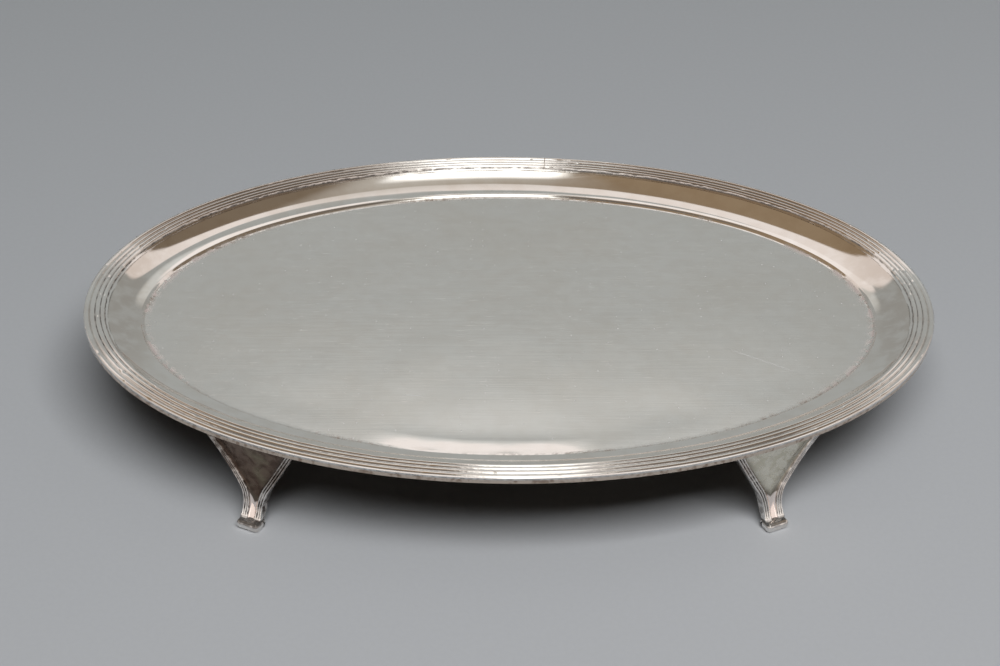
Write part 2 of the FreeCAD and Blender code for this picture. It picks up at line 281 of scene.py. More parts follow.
def under_section(border_end):
    """The plate's underside, from under the wire back to the well."""
    steep = math.radians(BORDER_END_ANGLE)
    shallow = math.radians(BORDER_START_ANGLE)
    radius = border_radius() + SHEET
    end = border_end + SHEET * np.array([math.sin(steep), -math.cos(steep)])
    turned = bend(end, SHOULDER_RADIUS - SHEET, BORDER_END_ANGLE, 0, 4)
    angles = np.linspace(steep, (2 * shallow + steep) / 3, 20)
    run = radius * (math.sin(steep) - np.sin(angles))
    rise = radius * (np.cos(angles) - math.cos(steep))
    border = end - np.stack([run, rise], -1)
    floor = WELL - SHEET
    ramp_run = (border[-1, 1] - floor) / math.tan(math.radians((STEP_ANGLE + BORDER_START_ANGLE) / 2))
    ramp = stretch(border[-1], (border[-1, 0] - ramp_run, floor), 6)
    return np.concatenate([turned[::-1], border, ramp])


def plate_section():
    """The plate's section over the top, round the edge and back underneath, and how much of the
    underside's tarnish and painted shade each point has: none on top, half on the edge and all of it
    beneath."""
    upper, border_end = upper_section()
    under = under_section(border_end)
    edge_top = (-WIRE_OVERHANG, PLATE_TOP)
    edge_bottom = (-WIRE_OVERHANG, HEAD)
    edge = np.concatenate([stretch(upper[-1], edge_top, 3), stretch(edge_top, edge_bottom, 2)])
    lower = np.concatenate([stretch(edge_bottom, under[0], 3), under[1:]])
    beneath = np.repeat([0.0, 0.5, 1.0], [len(upper), len(edge), len(lower)])
    return np.concatenate([upper, edge, lower]), beneath


def add_hand_work(rings, offsets, angles):
    """Lets the step wander, its foot more than its crest, and ripples the border."""
    from_well = offsets + WELL_INSET
    near_step = bell(from_well, 0.6 * MM, 0.9 * MM)[:, None]
    near_foot = bell(from_well, 0.1 * MM, 0.25 * MM)[:, None]
    wander = near_step * ripple(rings, STEP_WANDER) + near_foot * ripple(rings, STEP_FOOT_WANDER)
    rings[..., :2] += wander[..., None] * oval_edge(angles)[1][None]
    on_border = fade(from_well, 0, 3 * MM)
    on_border *= 1 - fade(offsets, -WIRE_WIDTH - 2 * MM, -WIRE_WIDTH - MM)
    rings[..., 2] += on_border[:, None] * ripple(rings, BORDER_RIPPLE)


def dents(points):
    """How far the hand-raised well stands above or below its true level at each point."""
    x, y = points[..., 0], points[..., 1]
    height = ripple(points[..., :2], WELL_SWELL) + ripple(points[..., :2], WELL_RIPPLE)
    for middle_x, middle_y, wide, deep, depth in HOLLOWS:
        height -= depth * bell(x, middle_x, wide) * bell(y, middle_y, deep)
    return height


def gutter(points):
    """How far the well sinks towards the step in a stretch along its front edge."""
    x, y = points[..., 0], points[..., 1]
    along = fade(x, *GUTTER_LEFT_END) * (1 - fade(x, *GUTTER_RIGHT_END))
    share = np.clip(x / WELL_HALF_LENGTH, -1, 1)
    from_step = y + WELL_HALF_WIDTH * np.sqrt(1 - share ** 2)
    from_step = from_step + ripple(points[..., :2], GUTTER_WANDER)
    return GUTTER_DEPTH * along * (1 - fade(from_step, *GUTTER_REACH))


def well_rows(ring, shares):
    """Rows of the level well: the ring round it, drawn in towards the middle by each share."""
    rows = shares[:, None, None] * ring
    rows[..., 2] = ring[:, 2]
    return rows


def tray_plate(material):
    """The raised sheet: well, step, hollow border and the level edge that the wire sits on."""
    angles = np.linspace(0, math.tau, AROUND, endpoint=False)
    section, section_beneath = plate_section()
    rings = round_oval(section, angles)
    add_hand_work(rings, section[:, 0], angles)
    # the well's rows run from close to the step to close to the middle
    shares = 1 - fade(np.linspace(0, 1, WELL_ROWS + 2), -0.6, 1)[1:-1]
    shares = shares / shares.max() * 0.985
    grid = np.concatenate([well_rows(rings[0], shares[::-1]), rings, well_rows(rings[-1], shares)])
    from_middle = np.hypot(grid[..., 0] / WELL_HALF_LENGTH, grid[..., 1] / WELL_HALF_WIDTH)
    grid[..., 2] += (1 - fade(from_middle, 0.86, 1.0)) * dents(grid)
    well_offsets = np.full(WELL_ROWS, -HALF_LENGTH)  # far in from the step
    from_well = np.concatenate([well_offsets, section[:, 0], well_offsets]) + WELL_INSET
    on_level = 1 - fade(from_well, 0.1 * MM, 1.1 * MM)
    grid[..., 2] -= on_level[:, None] * gutter(grid)

    rows, columns = grid.shape[:2]
    points = grid.reshape(-1, 3)
    middles = np.stack([grid[0].mean(0), grid[-1].mean(0)])
    faces = grid_faces(rows, columns, wrap_columns=True)
    top_middle = len(points)
    last = (rows - 1) * columns
    faces += [[top_middle, j, (j + 1) % columns] for j in range(columns)]
    faces += [[top_middle + 1, last + (j + 1) % columns, last + j] for j in range(columns)]

    beneath = np.concatenate([np.zeros(WELL_ROWS), section_beneath, np.ones(WELL_ROWS)])
    marks_by_row = {  # the value of each row, then those of the upper and the lower middle point
        "crease": (bell(from_well, 0.25 * MM, 0.4 * MM), [0, 0]),
        "level": (1 - fade(from_well, 0, 0.4 * MM), [1, 1]),
        "beneath": (beneath, [0, 1]),
    }
    marks = {}
    for mark_name, (row_values, middle_values) in marks_by_row.items():
        marks[mark_name] = np.append(np.repeat(row_values, columns), middle_values)
    piece = make_mesh("salver_plate", np.concatenate([points, middles]), faces, marks)
    finish_piece(piece, material, "silver_sheet", "tray_plate")


# ---- rim wire ----
def wire_section():
    """Closed section of the wire from its inner foot over the reeds, with each point's height above
    the grooves beside it: 0 in a groove and 1 on a crest."""
    offset = -WIRE_WIDTH
    points = [(offset, 0.0), (offset, 0.6 * LIP_HEIGHT)]
    crests = [0.2, 0.3]
    low = LIP_HEIGHT
    for width, crest, groove in INNER_REEDS:
        for share in np.linspace(0, 1, REED_STEPS, endpoint=False):
            base = low + (groove - low) * share
            hump = 1 - abs(2 * share - 1) ** REED_FULLNESS
            points.append((offset + share * width, base + (crest - (low + groove) / 2) * hump))
            crests.append(hump)
        offset += width
        low = groove
    # the outer reed is round and turns under to the wire's back
    half_width = -offset / 2
    rise = wire_high.z - WIRE_BACK - OUTER_REED_MIDDLE
    start = math.pi - math.asin((low - OUTER_REED_MIDDLE) / rise)
    end = -math.asin(OUTER_REED_MIDDLE / rise) * 0.98
    for angle in np.linspace(start, end, OUTER_REED_STEPS):
        points.append((half_width * (math.cos(angle) - 1), OUTER_REED_MIDDLE + rise * math.sin(angle)))
        crests.append(max(0.06, math.sin(angle)) ** 0.5)
    points.append((-WIRE_OVERHANG, 0.0))
    crests.append(0.3)
    section = np.array(points)
    section[:, 1] = np.clip(section[:, 1], 0, None) + WIRE_BACK
    return section, np.array(crests)


def wear_nicks(rings, crests, angles):
    """Small knocks in the crests of the reeds, at seeded places."""
    rng = np.random.default_rng(11)
    depth = np.zeros(rings.shape[:2])
    across = np.linspace(0, 1, len(crests))
    for _ in range(NICKS):
        place = rng.uniform(0, math.tau)
        reed = rng.uniform(0.05, 0.95)
        length = rng.uniform(*NICK_LENGTH)
        size = rng.uniform(*NICK_DEPTH) * MM
        away = np.angle(np.exp(1j * (angles - place)))
        depth += size * bell(away, 0, length)[None, :] * bell(across, reed, 0.05)[:, None]
    return depth * crests[:, None]


def rim_wire(material):
    """The drawn wire, bent round the oval, with a narrow gap where its two ends meet."""
    butt = math.radians(BUTT_PARAMETER)
    speed = math.hypot(HALF_LENGTH * math.sin(butt), HALF_WIDTH * math.cos(butt))
    half_gap = BUTT_GAP / 2 / speed
    angles = np.linspace(butt + half_gap, butt + math.tau - half_gap, AROUND)
    section, crests = wire_section()
    rings = round_oval(section, angles)
    rings[..., 2] -= wear_nicks(rings, crests, angles)
    rings[..., 2] -= crests[:, None] * np.clip(ripple(rings, WIRE_WEAR), 0, None)
    lip = bell(section[:, 0], -WIRE_WIDTH, 0.12 * MM)[:, None]
    jagged = lip * (ripple(rings, LIP_WANDER) + ripple(rings, LIP_LONG_WANDER))
    rings[..., :2] += jagged[..., None] * oval_edge(angles)[1][None]
    rows, columns = rings.shape[:2]
    faces = grid_faces(rows, columns, wrap_rows=True)
    faces.append([i * columns for i in range(rows)][::-1])
    faces.append([i * columns + columns - 1 for i in range(rows)])
    groove = np.repeat(1 - crests, columns)
    piece = make_mesh("rim_reeded_wire", rings.reshape(-1, 3), faces, {"crease": groove})
    finish_piece(piece, material, "silver_wire", "rim_wire")


def rim_seam(material):
    """The thin bed of solder under the wire and its uneven fillet along the wire's inner edge."""
    angles = np.linspace(0, math.tau, AROUND, endpoint=False)
    border_end = upper_section()[1]
    shares = np.linspace(0, 1, 9)
    lip = np.array([-WIRE_WIDTH, WIRE_BACK + LIP_HEIGHT - 0.1 * MM])
    fillet = border_end + shares[:, None] * (lip - border_end)
    swell = np.sin(math.pi * shares)
    fillet[:, 1] -= 0.05 * MM * swell
    bed = [(-WIRE_WIDTH, WIRE_BACK), (-WIRE_OVERHANG, WIRE_BACK), (-WIRE_OVERHANG, PLATE_TOP)]
    shoulder = bend(border_end, SHOULDER_RADIUS, BORDER_END_ANGLE, 0, 6)[::-1]
    section = np.concatenate([fillet, bed, shoulder])
    rings = round_oval(section, angles)
    fillet_rings = rings[:len(fillet)]
    fillet_rings[..., 2] += swell[:, None] * ripple(fillet_rings, SEAM_LUMPS)
    rows, columns = rings.shape[:2]
    faces = grid_faces(rows, columns, wrap_rows=True, wrap_columns=True)
    crease = np.zeros(rows)
    crease[:len(fillet)] = fade(shares, 0.55, 0.9)
    marks = {"crease": np.repeat(crease, columns)}
    piece = make_mesh("rim_seam_solder", rings.reshape(-1, 3), faces, marks)
    finish_piece(piece, material, "silver_solder", "rim_solder")


# ---- feet, drawn facing +X round the centre of the oval's curvature ----
def foot_inset(height, insets):
    """How far in a surface of the foot lies at a height: two arcs that stand upright at the waist."""
    head, waist, toe = insets
    above = height > WAIST_HEIGHT
    rise = np.where(above, HEAD - WAIST_HEIGHT, WAIST_HEIGHT - TOE_HEIGHT)
    run = np.where(above, waist - head, waist - toe)
    radius = (rise ** 2 + run ** 2) / (2 * run)
    return waist - radius + np.sqrt(radius ** 2 - (height - WAIST_HEIGHT) ** 2)


def foot_half_width(height, inset):
    """Half the foot's width at a height, along a line moved in from its outline."""
    flare = math.radians(FOOT_FLARE_ANGLE)
    radius = FOOT_FLARE_RADIUS + inset
    middle = FOOT_HALF_WIDTH + FOOT_FLARE_RADIUS
    flare_top = FOOT_STRAIGHT + radius * math.sin(flare)
    up = np.clip(height, FOOT_STRAIGHT, flare_top) - FOOT_STRAIGHT
    return middle - np.sqrt(radius ** 2 - up ** 2) + np.clip(height - flare_top, 0, None) * math.tan(flare)


def foot_point(radius, inset, across, height):
    """Points of the foot from how far in, how far across and how high they are."""
    inset, across, height = np.broadcast_arrays(inset, across, height)
    reach = np.sqrt((radius - inset) ** 2 - across ** 2)
    return np.stack([reach, across, height], -1)


def foot_panel(radius, heights):
    """The smooth sheet between the strips, with soft fillets where it meets them."""
    heights = heights[:, None]
    shares = np.sin(np.linspace(-math.pi / 2, math.pi / 2, 33))[None, :]
    half = foot_half_width(heights, STRIP_WIDTH)
    across = half * shares
    room = half * (1 - np.abs(shares))
    fillet = PANEL_FILLET * np.exp(-room / PANEL_FILLET_REACH)
    front = foot_point(radius, foot_inset(heights, PANEL_FRONT) - fillet, across, heights)
    back = foot_point(radius, foot_inset(heights, PANEL_BACK), across, heights)
    crease = np.concatenate([np.exp(-room / (0.65 * MM)), np.zeros_like(across)], 1)
    sideways = np.broadcast_to(np.abs(shares), across.shape)
    marks = {"crease": crease, "sideways": np.concatenate([sideways, sideways[:, ::-1]], 1)}
    return np.concatenate([front, back[:, ::-1]], 1), marks


def foot_strip(radius, heights, side):
    """One reeded edge strip. The side is -1 or 1, the sign of its Y."""
    heights = heights[:, None]
    shares = np.linspace(0, 1, 12 * STRIP_REEDS + 1)[None, :]
    hump = 1 - np.abs(2 * ((shares * STRIP_REEDS) % 1) - 1) ** STRIP_FULLNESS
    plain = 1 - fade(heights, TOE_HEIGHT + 0.6 * LEDGE_HEIGHT, TOE_HEIGHT + LEDGE_HEIGHT)
    hump = np.maximum(hump, plain)
    edge = np.maximum(0, 1 - np.minimum(shares, 1 - shares) * 8) ** 2
    depth = STRIP_GROOVE * (1 - hump) + STRIP_EDGE_ROUNDING * edge
    across = side * foot_half_width(heights, shares * STRIP_WIDTH)
    front = foot_point(radius, foot_inset(heights, STRIP_FRONT) + depth, across, heights)
    back = foot_point(radius, foot_inset(heights, STRIP_BACK), across, heights)
    ledge_line = bell(heights, TOE_HEIGHT + 0.1 * MM, 0.12 * MM)
    crease = np.maximum(1 - hump, ledge_line)
    crease = np.concatenate([crease, np.full_like(across, 0.5)], 1)
    return np.concatenate([front, back[:, ::-1]], 1), {"crease": crease}


def toe_bar(radius):
    """The rounded bar that the foot stands on: a section of the bar at every place across it."""
    nose = radius - TOE_INSET
    middle = np.array([nose - TOE_NOSE_RADIUS, TOE_HEIGHT / 2])
    flat = TOE_HEIGHT / 2 - TOE_NOSE_RADIUS
    angles = np.radians(np.linspace(-90, 90, 31))
    round_nose = np.stack([np.cos(angles), np.sin(angles)], -1)
    section = middle + TOE_NOSE_RADIUS * round_nose + np.stack([0 * angles, flat * np.sign(angles)], -1)
    turn = np.radians(np.linspace(90, 180, 7))
    round_heel = np.stack([np.cos(turn), np.sin(turn)], -1)
    heel_middle = np.array([nose - TOE_DEPTH + TOE_HEEL_RADIUS, TOE_HEIGHT - TOE_HEEL_RADIUS])
    upper = heel_middle + TOE_HEEL_RADIUS * round_heel
    lower = upper[::-1] * [1, -1] + [0, TOE_HEIGHT]
    outline = np.concatenate([section, upper, lower])
    outward = np.concatenate([round_nose, round_heel, round_heel[::-1] * [1, -1]])
    along = np.sin(np.linspace(-math.pi / 2, math.pi / 2, 61)) * TOE_HALF_WIDTH
    over = np.clip(np.abs(along) - (TOE_HALF_WIDTH - TOE_CORNER), 0, TOE_CORNER)
    shrink = TOE_CORNER - np.sqrt(TOE_CORNER ** 2 - over ** 2)
    flat_section = outline[None] - shrink[:, None, None] * outward[None]
    across = np.broadcast_to(along[:, None, None], flat_section.shape[:2] + (1,))
    return np.concatenate([flat_section[..., :1], across, flat_section[..., 1:]], -1)


def closed_tube(grid):
    """Faces of a tube of closed sections with a flat face at each end."""
    rows, columns = grid.shape[:2]
    faces = grid_faces(rows, columns, wrap_columns=True)
    faces.append(list(range(columns))[::-1])
    faces.append([(rows - 1) * columns + j for j in range(columns)])
    return faces


def place_foot(points, facing, middle):
    """Turns a foot's points to face its way and moves them to its corner."""
    cos, sin = math.cos(facing), math.sin(facing)
    x = middle[0] + points[..., 0] * cos - points[..., 1] * sin
    y = middle[1] + points[..., 0] * sin + points[..., 1] * cos
    return np.stack([x, y, points[..., 2]], -1)


def foot_corners():
    """Facing and centre of curvature for each foot, and the radius of that curvature."""
    angle = math.radians(FOOT_PARAMETER)
    place, normal = oval_edge(np.array([angle]))
    heading = math.atan2(normal[0, 1], normal[0, 0])
    stretched = (HALF_LENGTH * math.sin(angle)) ** 2 + (HALF_WIDTH * math.cos(angle)) ** 2
    radius = stretched ** 1.5 / (HALF_LENGTH * HALF_WIDTH)
    x, y = place[0] - radius * normal[0]
    corners = {
        "back_right": (heading, (x, y)),
        "back_left": (math.pi - heading, (-x, y)),
        "front_left": (math.pi + heading, (-x, -y)),
        "front_right": (-heading, (x, -y)),
    }
    return corners, radius


def face_outwards(piece):
    """Turns a closed piece's faces so that they all look outwards."""
    mesh = piece.data
    volume = 0.0
    for polygon in mesh.polygons:
        volume += polygon.center.dot(polygon.normal) * polygon.area
    if volume < 0:
        mesh.flip_normals()


def feet(panel_material, strip_material, toe_material):
    """All four feet, each a panel, two strips and a toe."""
    corners, radius = foot_corners()
    heights = TOE_HEIGHT + (HEAD - TOE_HEIGHT) * np.linspace(0, 1, FOOT_ROWS)
    toe = toe_bar(radius)
    # the crease mark darkens the toe's upper half with tarnish and painted shade
    toe_marks_with_painted_shade = {"crease": 0.8 * fade(toe[..., 2], 0.5 * TOE_HEIGHT, 0.8 * TOE_HEIGHT)}
    parts = [
        ("foot_panel", *foot_panel(radius, heights), panel_material, "silver_panel"),
        ("foot_reed_left", *foot_strip(radius, heights, -1), strip_material, "silver_foot"),
        ("foot_reed_right", *foot_strip(radius, heights, 1), strip_material, "silver_foot"),
        ("foot_toe", toe, toe_marks_with_painted_shade, toe_material, "silver_foot"),
    ]
    for corner, (facing, middle) in corners.items():
        for part, grid, marks, material, slot in parts:
            placed = place_foot(grid, facing, middle)
            node = f"{part}_{corner}"
            piece = make_mesh(f"silver_{node}", placed.reshape(-1, 3), closed_tube(grid), marks)
            face_outwards(piece)
            finish_piece(piece, material, slot, node)


# ---- shader helpers ----
def feed(tree, socket, value):
    """Links a socket to another one, or sets it to a plain value."""
    if isinstance(value, bpy.types.NodeSocket):
        tree.links.new(value, socket)
    else:
        socket.default_value = value


def shader_node(tree, kind, settings, inputs):
    """A node of the given kind; inputs are values or sockets by name or number."""
    node = tree.nodes.new(kind)
    for name, value in settings.items():
        setattr(node, name, value)
    for name, value in inputs.items():
        feed(tree, node.inputs[name], value)
    return node


def calc(tree, operation, *values):
    inputs = dict(enumerate(values))
    return shader_node(tree, "ShaderNodeMath", {"operation": operation}, inputs).outputs[0]


def product(tree, first, *others):
    for other in others:
        first = calc(tree, "MULTIPLY", first, other)
    return first


def opposite(tree, share):
    """1 where the share is 0, and 0 where it is 1."""
    return calc(tree, "SUBTRACT", 1.0, share)


def remap(tree, value, low, high, new_low=0.0, new_high=1.0):
    """A smooth, clamped change of range."""
    inputs = {"Value": value, "From Min": low, "From Max": high, "To Min": new_low, "To Max": new_high}
    return shader_node(tree, "ShaderNodeMapRange", {"interpolation_type": "SMOOTHSTEP"}, inputs).outputs[0]


def blend_colours(tree, share, first, second):
    node = tree.nodes.new("ShaderNodeMix")
    node.data_type = "RGBA"
    feed(tree, node.inputs["Factor"], share)
    feed(tree, node.inputs["A"], first)
    feed(tree, node.inputs["B"], second)
    return next(socket for socket in node.outputs if socket.type == "RGBA")


def grain(tree, scale, stretch_by=(1, 1, 1), detail=3.0, distortion=0.0):
    """Noise in the object's own coordinates, drawn out by different scales on each axis."""
    place = tree.nodes.new("ShaderNodeTexCoord").outputs["Object"]
    mapped = shader_node(tree, "ShaderNodeMapping", {}, {"Vector": place, "Scale": stretch_by})
    inputs = {"Vector": mapped.outputs[0], "Scale": scale, "Detail": detail, "Distortion": distortion}
    return shader_node(tree, "ShaderNodeTexNoise", {}, inputs).outputs[0]


def mark(tree, name):
    """A piece's own mark, as a value."""
    return shader_node(tree, "ShaderNodeAttribute", {"attribute_name": name}, {}).outputs["Fac"]


def place_of(tree):
    """The object's own x, y and z."""
    place = tree.nodes.new("ShaderNodeTexCoord").outputs["Object"]
    return shader_node(tree, "ShaderNodeSeparateXYZ", {}, {"Vector": place}).outputs


def new_material(name):
    material = bpy.data.materials.new(name)
    material.use_nodes = True
    tree = material.node_tree
    return material, tree, tree.nodes["Principled BSDF"]


def set_surface(tree, shader, colour, metallic, roughness):
    feed(tree, shader.inputs["Base Color"], colour)
    feed(tree, shader.inputs["Metallic"], metallic)
    feed(tree, shader.inputs["Roughness"], roughness)


def add_bump(tree, shader, height, distance, strength=1.0):
    inputs = {"Height": height, "Distance": distance, "Strength": strength}
    bump = shader_node(tree, "ShaderNodeBump", {}, inputs)
    tree.links.new(bump.outputs[0], shader.inputs["Normal"])


def rgb(red, green, blue):
    return (red, green, blue, 1.0)


# ---- colours of the silver; a pair is mottled from the first to the second ----
SILVER = rgb(0.90, 0.89, 0.865)
WARM_SILVER = rgb(0.84, 0.78, 0.70)
TINTED_SILVER = rgb(0.62, 0.52, 0.42)
SCRATCHED_SILVER = rgb(0.97, 0.97, 0.95)
# pinkish painted reflection on the lower part of the feet's panels
PAINTED_REFLECTION_SILVER = rgb(0.93, 0.83, 0.78)
TARNISH = rgb(0.20, 0.125, 0.075)
DEEP_TARNISH = rgb(0.045, 0.03, 0.022)
DRIED_POLISH = rgb(0.62, 0.52, 0.49)
BORDER_STAIN = rgb(0.56, 0.50, 0.44)
EDGE_GRIME = (rgb(0.68, 0.585, 0.50), rgb(0.40, 0.31, 0.25))
# near-black underside: tarnish and painted shade
UNDERSIDE_TARNISH_AND_SHADE = (rgb(0.075, 0.06, 0.047), rgb(0.17, 0.14, 0.11))
DUST = rgb(0.85, 0.85, 0.83)
OLD_FILM = rgb(0.67, 0.61, 0.57)
BACK_FILM = rgb(0.58, 0.52, 0.48)
# browner film and painted shade towards the top of the feet
UPPER_FILM_AND_SHADE = rgb(0.28, 0.215, 0.17)
# dark brown of the left feet's panels: tarnish and painted shade
BROWN_PANEL_TARNISH_AND_SHADE = (rgb(0.18, 0.13, 0.10), rgb(0.10, 0.066, 0.050))
BROWN_PANEL_SHEEN = rgb(0.30, 0.28, 0.19)
OLIVE_PANEL = (rgb(0.80, 0.77, 0.67), rgb(0.67, 0.64, 0.53))
# painted shade in a band above that painted reflection
PAINTED_SHADE_BAND = rgb(0.13, 0.11, 0.09)
SOLDER = (rgb(0.55, 0.50, 0.45), rgb(0.22, 0.15, 0.10))

# ---- where the marks of use and the painted light on the feet lie ----
CREASE_ENDS = (58.0 * MM, 70.0 * MM)     # from the middle, where dried polish starts and is full
STAINED_ENDS = (72.0 * MM, 84.0 * MM)    # the same for the border's stain
BESIDE_MIDDLE = (22.0 * MM, 38.0 * MM)   # the same for the film along the rim's back
RIM_BACK = (15.0 * MM, 35.0 * MM)
PAINTED_REFLECTION_HEIGHT = 5.6 * MM  # a bright painted reflection covers the panels below about this height
PAINTED_REFLECTION_DIP = 1.1 * MM     # how much lower that line is in a panel's middle
PAINTED_REFLECTION_UNEVENNESS = 1.0 * MM
PAINTED_REFLECTION_SOFTNESS = 0.25 * MM
SHADE_BAND_HEIGHT = 2.4 * MM    # band of painted shade above that line
LEFT_FOOT_LINE = -54.0 * MM  # where the slant of the left feet's line crosses the level one
LEFT_FOOT_SLANT = 0.8     # fall of their line towards the right
SCRATCH_WIDTH = 0.16 * MM
WELL_SCRATCHES = [        # ends of two light scratches
    ((45.5 * MM, -12.5 * MM), (60.5 * MM, -22.0 * MM)),
    ((-23.0 * MM, -30.0 * MM), (-18.0 * MM, -30.5 * MM)),
]
SPECKS_PER_METRE = 380.0
SPECK_SIZE = 0.06         # of the space that each speck has
SPECK_RARITY = 0.74       # share of those spaces that stay empty


# ---- materials ----
def dust(tree):
    """Small scattered specks: 1 on a speck and 0 elsewhere."""
    place = tree.nodes.new("ShaderNodeTexCoord").outputs["Object"]
    inputs = {"Vector": place, "Scale": SPECKS_PER_METRE, "Randomness": 1.0}
    cells = shader_node(tree, "ShaderNodeTexVoronoi", {"voronoi_dimensions": "2D"}, inputs)
    chosen = shader_node(tree, "ShaderNodeSeparateColor", {}, {"Color": cells.outputs["Color"]})
    rare = calc(tree, "GREATER_THAN", chosen.outputs[0], SPECK_RARITY)
    size = product(tree, chosen.outputs[1], SPECK_SIZE)
    return product(tree, rare, calc(tree, "LESS_THAN", cells.outputs["Distance"], size))


def scratch(tree, x, y, start, end):
    """One straight scratch between two places on the well: 1 on its line and 0 away from it."""
    run, rise = end[0] - start[0], end[1] - start[1]
    length = math.hypot(run, rise)
    away_x = calc(tree, "SUBTRACT", x, start[0])
    away_y = calc(tree, "SUBTRACT", y, start[1])
    along_x = product(tree, away_x, run / length)
    along_y = product(tree, away_y, rise / length)
    along = calc(tree, "ADD", along_x, along_y)
    across_x = product(tree, away_x, rise / length)
    across_y = product(tree, away_y, run / length)
    across = calc(tree, "SUBTRACT", across_x, across_y)
    on_line = remap(tree, calc(tree, "ABSOLUTE", across), SCRATCH_WIDTH, 0.2 * SCRATCH_WIDTH)
    middle = calc(tree, "ABSOLUTE", calc(tree, "SUBTRACT", along, length / 2))
    return product(tree, on_line, remap(tree, middle, length / 2, length / 4))


def well_specks(tree, x, y, well):
    """Dust and light scratches on the well: how far they cover it."""
    specks = product(tree, dust(tree), well)
    for start, end in WELL_SCRATCHES:
        line = product(tree, scratch(tree, x, y, start, end), well, 0.7)
        specks = calc(tree, "MAXIMUM", specks, line)
    return specks


def step_dirt(tree, x, crease, ragged, patches):
    """Dirt in the crease at the step, as its share and colour: pale polish has dried there at the
    two ends, and the rest is dark tarnish."""
    in_places = remap(tree, patches, 0.40, 0.62, 0.05, 0.9)
    dirt = product(tree, crease, remap(tree, ragged, 0.42, 0.66), in_places)
    at_ends = remap(tree, calc(tree, "ABSOLUTE", x), *CREASE_ENDS)
    crumbs = grain(tree, scale=500.0, detail=2.0)
    pale = product(tree, at_ends, remap(tree, crumbs, 0.42, 0.55))
    dirt = calc(tree, "MAXIMUM", dirt, product(tree, crease, pale, 0.9))
    return dirt, blend_colours(tree, pale, TARNISH, DRIED_POLISH)


def worn_colour(tree, x, level, patches, hairlines):
    """Silver with warmer patches, a thin tint, a stain on the border's two ends, and hairlines."""
    tints = grain(tree, scale=260.0, detail=4.0)
    colour = blend_colours(tree, remap(tree, patches, 0.35, 0.75, 0.0, 0.25), SILVER, WARM_SILVER)
    tint = remap(tree, tints, 0.35, 0.70, 0.0, calc(tree, "MULTIPLY_ADD", level, -0.10, 0.18))
    colour = blend_colours(tree, tint, colour, TINTED_SILVER)
    at_ends = remap(tree, calc(tree, "ABSOLUTE", x), *STAINED_ENDS)
    stain = product(tree, at_ends, 0.42, opposite(tree, level), remap(tree, tints, 0.3, 0.6, 0.7, 1.3))
    colour = blend_colours(tree, stain, colour, BORDER_STAIN)
    return blend_colours(tree, product(tree, hairlines, 0.25), colour, SCRATCHED_SILVER)


def grime_and_shade_below(tree, colour, beneath, ragged, patches):
    """The colour under grime on the plate's edge, and dark tarnish with painted shade on its underside."""
    grime = blend_colours(tree, remap(tree, ragged, 0.46, 0.66), *EDGE_GRIME)
    colour = blend_colours(tree, remap(tree, beneath, 0.0, 0.5), colour, grime)
    underside = blend_colours(tree, remap(tree, patches, 0.40, 0.65), *UNDERSIDE_TARNISH_AND_SHADE)
    return blend_colours(tree, remap(tree, beneath, 0.5, 1.0), colour, underside)


def sheet_silver():
    """Silver of the plate: bright on the border, satin on the well, tarnished and darkened with painted
    shade underneath, with residue in the creases, and fine scratches and dust on the well."""
    material, tree, shader = new_material("sheet_silver")
    level = mark(tree, "level")
    beneath = mark(tree, "beneath")
    x, y, _ = place_of(tree)
    scratches = grain(tree, scale=60.0, stretch_by=(1.0, 40.0, 1.0), detail=6.0)
    cross_scratches = grain(tree, scale=60.0, stretch_by=(30.0, 1.5, 1.0), detail=5.0)
    hairlines = grain(tree, scale=60.0, stretch_by=(5.0, 42.0, 1.0), detail=2.0)
    hairlines = remap(tree, hairlines, 0.66, 0.76)
    patches = grain(tree, scale=45.0, detail=4.0)
    ragged = grain(tree, scale=900.0, detail=3.0)
    colour = worn_colour(tree, x, level, patches, hairlines)
    dirt, residue = step_dirt(tree, x, mark(tree, "crease"), ragged, patches)
    colour = blend_colours(tree, dirt, colour, residue)
    colour = grime_and_shade_below(tree, colour, beneath, ragged, patches)
    specks = well_specks(tree, x, y, product(tree, level, opposite(tree, beneath)))
    colour = blend_colours(tree, specks, colour, DUST)
    rough = remap(tree, scratches, 0.3, 0.7, 0.03, 0.07)
    rough = calc(tree, "ADD", rough, product(tree, level, 0.09))
    rough = calc(tree, "ADD", rough, product(tree, calc(tree, "MAXIMUM", dirt, beneath), 0.35))
    set_surface(tree, shader, colour, opposite(tree, calc(tree, "MAXIMUM", specks, dirt)), rough)
    height = calc(tree, "MULTIPLY_ADD", cross_scratches, 0.5, scratches)
    height = calc(tree, "MULTIPLY_ADD", hairlines, 0.8, height)
    add_bump(tree, shader, height, 0.006 * MM, calc(tree, "MULTIPLY_ADD", level, 0.6, 0.15))
    return material


